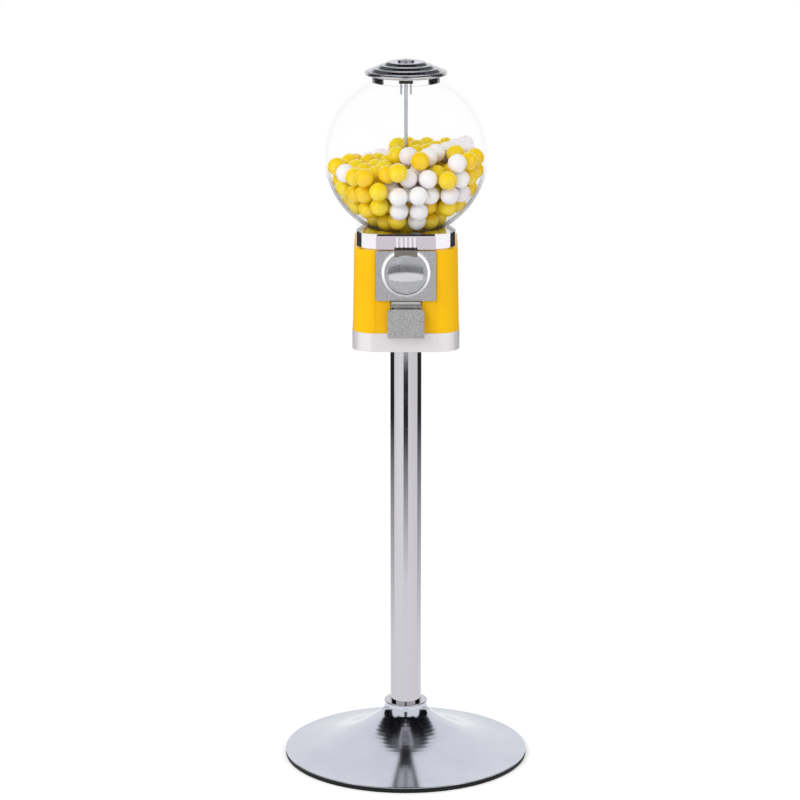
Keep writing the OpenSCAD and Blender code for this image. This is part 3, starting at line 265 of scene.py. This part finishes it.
def knob_metal():
    """The knob: grained zinc, with a painted highlight on the front of the grip."""
    made = cast_zinc("knob_zinc", srgb(196, 197, 200), 0.3)
    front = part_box("knob")[0][1]
    speckle = made.noise(0.0012, detail=2.0)
    made.color(made.fit(speckle, 0.35, 0.65, 0.0, 1.0), srgb(182, 183, 187), srgb(206, 207, 210))
    colour_so_far = made.shader.inputs["Base Color"].links[0].from_socket
    # Painted highlight: the frontmost millimetre of the knob is painted lighter.
    made.color(made.fit(made.axis(1), front + 0.0002, front + 0.0014, 1.0, 0.0), colour_so_far, srgb(232, 232, 234))
    return made


def cast_zinc(name, tint, roughness=0.3):
    """Plain plated zinc casting: soft skin with a fine grain."""
    made = Finish(name, tint, metallic=1.0, roughness=roughness)
    grain = made.noise(0.0009, detail=4.0, roughness=0.6)
    made.gloss(made.noise(0.012, detail=4.0), roughness - 0.06, roughness + 0.1)
    made.bump(grain, 0.00004, 0.35)
    made.bump(made.noise(0.008, detail=2.0), 0.00012, 0.25)
    return made


def satin_pan():
    """Powder-coated pan in light silver grey."""
    made = Finish("satin_pan", srgb(232, 228, 230), metallic=0.35, roughness=0.32, Coat_Weight=0.2,
                  Coat_Roughness=0.18)
    flake = made.noise(0.0011, detail=3.0, roughness=0.6)
    made.color(made.fit(flake, 0.35, 0.65, 0.0, 1.0), srgb(228, 223, 226), srgb(238, 235, 236))
    made.gloss(flake, 0.3, 0.42)
    made.bump(flake, 0.00003, 0.3)
    made.bump(made.noise(0.006, detail=1.0), 0.00005, 0.2)
    return made


def yellow_paint():
    """Golden yellow enamel with a faint orange peel."""
    made = Finish("yellow_paint", srgb(255, 196, 0), roughness=0.34, Coat_Weight=0.1, Coat_Roughness=0.1,
                  Specular_IOR_Level=0.12)
    cloud = made.noise(0.06, detail=3.0)
    made.color(made.fit(cloud, 0.3, 0.7, 0.0, 1.0), srgb(254, 192, 0), srgb(255, 199, 0))
    made.gloss(made.noise(0.004, detail=3.0), 0.26, 0.36)
    made.bump(made.noise(0.0022, detail=2.0), 0.00004, 0.22)
    return made


def clear_plastic():
    """The globe: nearly nothing face on, a painted grey reflection line where it is seen edge on, painted darkest
    on the lower half, and a painted dark band in the neck.
    """
    made = Finish("clear_plastic", srgb(96, 98, 104), roughness=0.04, IOR=1.3)
    made.material.surface_render_method = "BLENDED"
    neck_h = 0.0088
    facing = made.node("ShaderNodeLayerWeight")
    facing.inputs["Blend"].default_value = 0.5
    edge = made.math("POWER", facing.outputs["Facing"], 10.0)
    split = made.node("ShaderNodeSeparateXYZ")
    made.feed(split.inputs[0], made.place)
    low, high = (corner[2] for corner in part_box("globe"))
    # Painted shade: the grey edge line is made darker towards the bottom of the globe.
    lower = made.fit(split.outputs[2], low + 0.22 * (high - low), low + 0.42 * (high - low), 3.6, 0.22)
    streak = made.noise(0.05, detail=2.0)
    haze = made.fit(streak, 0.3, 0.7, 0.0, 0.008)
    line = made.math("MINIMUM", made.math("MULTIPLY", edge, lower), 0.8)
    alpha = made.math("ADD", line, haze)
    # Painted refraction: where the neck is seen side on, it is painted near black for the dark gasket seen through
    # it.
    in_neck = made.math("GREATER_THAN", split.outputs[2], high - neck_h)
    side_on = made.math("MULTIPLY", made.fit(facing.outputs["Facing"], 0.27, 0.31, 0.0, 1.0),
                        made.fit(facing.outputs["Facing"], 0.8, 0.9, 1.0, 0.0))
    neck_painted_band = made.math("MULTIPLY", made.math("MULTIPLY", in_neck, side_on), 0.9)
    made.feed(made.shader.inputs["Alpha"], made.math("MAXIMUM", alpha, neck_painted_band))
    made.color(neck_painted_band, srgb(96, 98, 104), srgb(14, 14, 16))
    made.gloss(streak, 0.03, 0.07)
    made.bump(streak, 0.0001, 0.1)
    return made


def black_plastic(name="black_plastic", tint=srgb(26, 26, 28), roughness=0.42):
    made = Finish(name, tint, roughness=roughness)
    grain = made.noise(0.0007, detail=3.0)
    made.color(grain, tint, srgb(38, 38, 40))
    made.gloss(grain, roughness - 0.06, roughness + 0.12)
    made.bump(grain, 0.00005, 0.3)
    return made


def rubber():
    made = Finish("rubber", srgb(20, 20, 21), roughness=0.6, Specular_IOR_Level=0.25)
    grain = made.noise(0.0012, detail=4.0, roughness=0.65)
    made.color(grain, srgb(10, 10, 11), srgb(28, 28, 29))
    made.gloss(grain, 0.5, 0.72)
    made.bump(grain, 0.0001, 0.4)
    return made


def cast_iron():
    made = Finish("cast_iron", srgb(62, 60, 58), metallic=0.6, roughness=0.7)
    grain = made.noise(0.003, detail=6.0, roughness=0.7)
    made.color(grain, srgb(48, 46, 45), srgb(80, 77, 74))
    made.bump(grain, 0.0004, 0.6)
    return made


def turned_metal(name, tint, roughness=0.28, metallic=1.0):
    """Bright, brass or zinc-plated machine parts, with fine tool marks."""
    made = Finish(name, tint, metallic=metallic, roughness=roughness)
    marks = made.noise(0.0005, detail=2.0, stretch=(0.2, 1, 1))
    made.gloss(made.noise(0.004, detail=4.0), roughness - 0.06, roughness + 0.12)
    made.bump(marks, 0.00002, 0.3)
    return made


def nylon():
    made = Finish("white_wheel", srgb(236, 232, 222), roughness=0.45, Subsurface_Weight=0.15)
    made.set("Subsurface Radius", (0.004, 0.003, 0.002))
    grain = made.noise(0.0015, detail=3.0)
    made.gloss(grain, 0.38, 0.52)
    made.bump(grain, 0.00004, 0.3)
    return made


def bristles():
    made = Finish("brush", srgb(92, 62, 38), roughness=0.8)
    hair = made.noise(0.0006, detail=2.0, stretch=(1, 1, 0.06))
    made.color(hair, srgb(60, 40, 24), srgb(132, 96, 62))
    made.bump(hair, 0.0006, 1.0)
    return made


def candy(name, light, dark, glow):
    """A glossy, slightly clear ball: each one has its own shade."""
    made = Finish(name, light, roughness=0.24, Coat_Weight=0.25, Coat_Roughness=0.1, Subsurface_Weight=0.85)
    made.set("Subsurface Radius", glow)
    made.set("Subsurface Scale", 1.0)
    shade = made.node("ShaderNodeNewGeometry").outputs["Random Per Island"]
    cloud = made.noise(0.011, detail=3.0)
    made.color(made.math("ADD", made.math("MULTIPLY", shade, 0.7), made.math("MULTIPLY", cloud, 0.3)), light, dark)
    made.gloss(made.noise(0.005, detail=3.0), 0.16, 0.3)
    made.bump(made.noise(0.0035, detail=2.0), 0.00012, 0.3)
    return made


FINISHES = {
    "base_dish": spun_chrome(),
    "pole pole_collar": chrome("pole_chrome", srgb(194, 192, 197), 0.05),
    "base_edge_ring globe_gasket lid_gasket": rubber(),
    "ballast_plate": cast_iron(),
    "top_plate": head_chrome(),
    "lid": chrome("lid_chrome", srgb(198, 200, 206), 0.2, smudge=0.06),
    "base_pan": satin_pan(),
    "body_shell": yellow_paint(),
    "lock_plate": black_plastic(),
    "coin_face_plate": coin_plate(),
    "knob": knob_metal(),
    "coin_slot_guide": cast_zinc("guide_zinc", srgb(142, 135, 128), 0.34),
    "flap_door": hammered_zinc("hammered_flap", srgb(210, 209, 208), srgb(164, 164, 166)),
    "chute_frame": cast_zinc("frame_zinc", srgb(204, 202, 200), 0.3),
    "lock_case lock_plug": cast_zinc("lock_metal", srgb(188, 190, 194), 0.2),
    "centre_rod lock_screws rod_nut rod_washer": turned_metal("rod_steel", srgb(190, 194, 200), 0.16),
    "chute wheel_housing drop_cover": turned_metal("tinned_sheet", srgb(196, 196, 198), 0.3),
    "base_bolt base_washer pole_plug top_flange flange_bolts flange_nuts": turned_metal(
        "plain_steel", srgb(150, 150, 152), 0.38),
    "housing_screws mech_screws hub_washer hub_nut flap_pin pawl_pin": turned_metal(
        "zinc_screws", srgb(190, 192, 198), 0.3),
    "coin_wheel ratchet_wheel drive_pinion": turned_metal("mech_brass", srgb(206, 170, 96), 0.3),
    "knob_shaft pawl pawl_spring back_frame frame_posts shaft_clip": turned_metal(
        "mech_steel", srgb(168, 170, 174), 0.32),
    "product_wheel": nylon(),
    "wiper_brush": bristles(),
    "globe": clear_plastic(),
}


def dress():
    """Gives each CAD node listed in FINISHES its material."""
    for names, finish in FINISHES.items():
        for name in names.split():
            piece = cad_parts[name]
            piece.data.materials.clear()
            piece.data.materials.append(finish.material)


# Gumballs -----------------------------------------------------------------

def ball_places(name):
    """Middle and radius of each ball in a CAD node, found as the mesh's separate pieces."""
    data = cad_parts[name].data
    points = np.empty(len(data.vertices) * 3)
    data.vertices.foreach_get("co", points)
    corners = np.empty(len(data.loops), int)
    data.loops.foreach_get("vertex_index", corners)
    points = points.reshape(-1, 3)
    triangles = corners.reshape(-1, 3)
    places, owner = np.unique(points.round(6), axis=0, return_inverse=True)
    triangles = owner.ravel()[triangles]
    label = np.arange(len(places))
    while True:
        lowest = label[triangles].min(1)
        lower = label.copy()
        for corner in range(3):
            np.minimum.at(lower, triangles[:, corner], lowest)
        lower = lower[lower]
        if (lower == label).all():
            break
        label = lower
    balls = []
    for piece in np.unique(label):
        own = places[label == piece]
        low, high = own.min(0), own.max(0)
        balls.append(((low + high) / 2, (high - low).max() / 2))
    return balls


def unit_ball():
    """Vertices and faces of a ball of radius 1."""
    mesh = bmesh.new()
    bmesh.ops.create_uvsphere(mesh, u_segments=40, v_segments=26, radius=1.0)
    points = np.array([vert.co[:] for vert in mesh.verts])
    faces = [[vert.index for vert in face.verts] for face in mesh.faces]
    mesh.free()
    return points, faces


def make_balls(name, finish, body, seed):
    """Gumballs with a fine moulding seam, each turned its own way, over a CAD node's balls."""
    seam_rise = 0.007
    seam_half = 0.035
    random = np.random.default_rng(seed)
    unit, unit_faces = unit_ball()
    points, faces = [], []
    for middle, radius in ball_places(name):
        turn = np.array(Euler(random.uniform(0, 2 * math.pi, 3)).to_matrix())
        lobes = random.uniform(-0.008, 0.0, 3)
        seam = seam_rise * np.exp(-(unit[:, 2] / seam_half) ** 2)
        size = radius * (1.0 - seam_rise + seam + (unit ** 2) @ lobes)
        first = len(points) * len(unit)
        faces += [[first + corner for corner in face] for face in unit_faces]
        points.append(middle + (unit * size[:, None]) @ turn.T)
    data = bpy.data.meshes.new(name + "_candy")
    data.from_pydata(np.concatenate(points).tolist(), [], faces)
    data.shade_smooth()
    data.materials.append(finish.material)
    balls = bpy.data.objects.new(name + "_candy", data)
    bpy.context.scene.collection.objects.link(balls)
    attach(balls, body)
    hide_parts(name)
    return balls


def make_all_balls():
    white = candy("white_candy", srgb(252, 250, 252), srgb(242, 234, 240), (0.012, 0.011, 0.011))
    yellow = candy("yellow_candy", srgb(255, 228, 50), srgb(252, 202, 12), (0.012, 0.009, 0.002))
    make_balls("gumballs_white", white, "cabinet", 11)
    make_balls("gumballs_yellow", yellow, "cabinet", 12)
    make_balls("gumballs_in_wheel", yellow, "wheel", 13)


# Pawl spring --------------------------------------------------------------

def make_pawl_spring(finish):
    """The pawl's coil, wound from one wire with closed ends."""
    wire_r = 0.0004
    turns = 5.5
    closed = 0.75
    steps = 32
    sides = 10
    low, high = (np.array(corner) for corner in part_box("pawl_spring"))
    middle = (low + high) / 2
    coil_r = (high[0] - low[0]) / 2 - wire_r
    count = int(turns * steps)
    turn = np.linspace(0, turns, count)
    rise = np.interp(turn, (0, closed, turns - closed, turns),
                     (0, closed * 2 * wire_r, high[2] - low[2] - (closed + 1) * 2 * wire_r,
                      high[2] - low[2] - 2 * wire_r))
    angle = 2 * math.pi * turn
    round_wire = 2 * math.pi * np.arange(sides) / sides
    out = coil_r + wire_r * np.cos(round_wire)[None, :]
    points = np.stack((middle[0] + out * np.cos(angle)[:, None], middle[1] + out * np.sin(angle)[:, None],
                       low[2] + wire_r + rise[:, None] + wire_r * np.sin(round_wire)[None, :]), axis=2)
    faces = [(step * sides + side, (step + 1) * sides + side, (step + 1) * sides + (side + 1) % sides,
              step * sides + (side + 1) % sides) for step in range(count - 1) for side in range(sides)]
    faces += [tuple(range(sides)), tuple((count - 1) * sides + side for side in reversed(range(sides)))]
    data = bpy.data.meshes.new("pawl_coil")
    data.from_pydata(points.reshape(-1, 3).tolist(), [], faces)
    data.shade_smooth()
    data.materials.append(finish.material)
    coil = bpy.data.objects.new("pawl_coil", data)
    bpy.context.scene.collection.objects.link(coil)
    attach(coil, "cabinet")
    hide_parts("pawl_spring")
    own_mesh(coil)
    return coil


# Stage --------------------------------------------------------------------

def ray_is(tree, *kinds):
    """1 for these kinds of ray, 0 for the others."""
    path = tree.nodes.new("ShaderNodeLightPath")
    total = None
    for kind in kinds:
        socket = path.outputs[f"Is {kind} Ray"]
        if total is None:
            total = socket
        else:
            adder = tree.nodes.new("ShaderNodeMath")
            adder.operation = "MAXIMUM"
            tree.links.new(total, adder.inputs[0])
            tree.links.new(socket, adder.inputs[1])
            total = adder.outputs[0]
    return total


def make_world(ambient):
    """White to the eye and in reflections, and soft light of its own strength on the object."""
    world = bpy.data.worlds.new("studio")
    bpy.context.scene.world = world
    world.use_nodes = True
    tree = world.node_tree
    background = tree.nodes["Background"]
    background.inputs["Color"].default_value = (1, 1, 1, 1)
    strength = tree.nodes.new("ShaderNodeMapRange")
    tree.links.new(ray_is(tree, "Camera", "Glossy", "Transmission"), strength.inputs[0])
    strength.inputs[3].default_value = ambient
    strength.inputs[4].default_value = 1.0
    tree.links.new(strength.outputs[0], background.inputs["Strength"])


def make_floor(size, pale, lift):
    """A pale floor that keeps the object's soft shadow and reads as white."""
    mesh = bmesh.new()
    bmesh.ops.create_grid(mesh, x_segments=1, y_segments=1, size=size / 2)
    data = bpy.data.meshes.new("floor")
    mesh.to_mesh(data)
    mesh.free()
    floor = bpy.data.objects.new("floor", data)
    bpy.context.scene.collection.objects.link(floor)
    paint = bpy.data.materials.new("floor_white")
    paint.use_nodes = True
    tree = paint.node_tree
    shader = tree.nodes["Principled BSDF"]
    shader.inputs["Base Color"].default_value = (pale, pale, pale, 1)
    shader.inputs["Roughness"].default_value = 0.9
    shader.inputs["Specular IOR Level"].default_value = 0.0
    shader.inputs["Emission Color"].default_value = (1, 1, 1, 1)
    glow = tree.nodes.new("ShaderNodeMath")
    glow.operation = "MULTIPLY"
    tree.links.new(ray_is(tree, "Camera", "Glossy", "Transmission"), glow.inputs[0])
    glow.inputs[1].default_value = lift
    tree.links.new(glow.outputs[0], shader.inputs["Emission Strength"])
    data.materials.append(paint)


def hang_screen(name, grid, shade, fade=None):
    """A studio screen through a grid of places, seen only in reflections.

    fade holds two distances from the Z axis, and the screen's strength up to the first and past the second."""
    mesh = bmesh.new()
    rows = [[mesh.verts.new(place) for place in row] for row in grid]
    for low, high in zip(rows, rows[1:]):
        for step in range(len(low) - 1):
            mesh.faces.new((low[step], low[step + 1], high[step + 1], high[step]))
    data = bpy.data.meshes.new(name)
    mesh.to_mesh(data)
    mesh.free()
    screen = bpy.data.objects.new(name, data)
    bpy.context.scene.collection.objects.link(screen)
    paint = Finish(name, (0, 0, 0, 1), Specular_IOR_Level=0.0, Emission_Color=tuple(shade) + (1,),
                   Emission_Strength=1.0)
    if fade:
        split = paint.node("ShaderNodeSeparateXYZ")
        paint.feed(split.inputs[0], paint.turned())
        paint.feed(paint.shader.inputs["Emission Strength"], paint.fit(split.outputs[0], *fade))
    data.materials.append(paint.material)
    screen.visible_camera = False
    screen.visible_diffuse = False
    screen.visible_shadow = False
    screen.visible_transmission = False
    screen.visible_volume_scatter = False


def steps_between(first, last, count):
    return [first + (last - first) * step / count for step in range(count + 1)]


def floor_screen(name, azimuth, radius, shade, fade=None):
    """A sector that lies just over the floor. azimuth is in degrees from the front, positive to the right."""
    turns = [math.radians(turn) for turn in steps_between(*azimuth, 16)]
    hang_screen(name, [[(far * math.sin(turn), -far * math.cos(turn), 0.003) for turn in turns]
                       for far in steps_between(*radius, 6)], shade, fade)


def flat_screen(name, across, depth, level, shade):
    hang_screen(name, [[(x, y, level) for x in across] for y in depth], shade)


def sky_screen(name, azimuth, elevation, shade, level=0.0, far=3.4):
    """A patch of a dome round the object, between two azimuths and two elevations in degrees."""
    turns = [math.radians(turn) for turn in steps_between(*azimuth, 16)]
    rises = [math.radians(rise) for rise in steps_between(*elevation, 8)]
    hang_screen(name, [[(far * math.cos(rise) * math.sin(turn), -far * math.cos(rise) * math.cos(turn),
                         level + far * math.sin(rise)) for turn in turns] for rise in rises], shade)


def make_lamp(name, place, aim, size, power):
    lamp = bpy.data.lights.new(name, "AREA")
    lamp.shape = "DISK"
    lamp.size = size
    lamp.energy = power
    holder = bpy.data.objects.new(name, lamp)
    holder.location = place
    holder.visible_glossy = False
    holder.rotation_euler = (Vector(aim) - Vector(place)).to_track_quat("-Z", "Y").to_euler()
    bpy.context.scene.collection.objects.link(holder)


def make_stage():
    lid_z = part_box("lid")[0][2]
    black = (0.006, 0.006, 0.007)
    white = (1.0, 1.0, 1.04)
    make_world(0.86)
    make_floor(30.0, 0.86, 0.26)
    floor_screen("front_floor", (-17, 17), (0.25, 2.72), white, fade=(0.9, 2.0, 1.1, 0.02))
    flat_screen("top_sky", (-1.5, 1.5), (-1.45, 0.8), 2.5, black)
    sky_screen("middle_sky", (-8, 8), (20, 60), black)
    for side, name in ((-1, "left"), (1, "right")):
        floor_screen(name + "_floor", (side * 94, side * 158), (0.25, 4.7), white, fade=(0.5, 2.1, 1.05, 0.03))
        sky_screen(name + "_sky", (side * 76, side * 128), (8, 60), black)
        sky_screen(name + "_back", (side * 112, side * 166), (22, 62), (0.12, 0.122, 0.13), level=lid_z, far=0.4)
    make_lamp("key", (-1.6, -2.2, 2.6), (0, 0, 0.7), 1.4, 26)


def make_camera():
    """The photograph's viewpoint: a little above the globe, looking down a little."""
    distance = 4.828
    height = 1.757
    pitch = 13.97
    turn = 0.104
    camera = bpy.data.cameras.new("camera")
    camera.lens = 149.5
    camera.sensor_width = 36
    holder = bpy.data.objects.new("camera", camera)
    holder.location = (0, -distance, height)
    holder.rotation_euler = (math.radians(90 - pitch), 0, math.radians(turn))
    bpy.context.scene.collection.objects.link(holder)
    bpy.context.scene.camera = holder
    bpy.context.scene.view_settings.view_transform = "Standard"


make_camera()
dress()
make_all_balls()
make_pawl_spring(FINISHES["centre_rod lock_screws rod_nut rod_washer"])
make_stage()
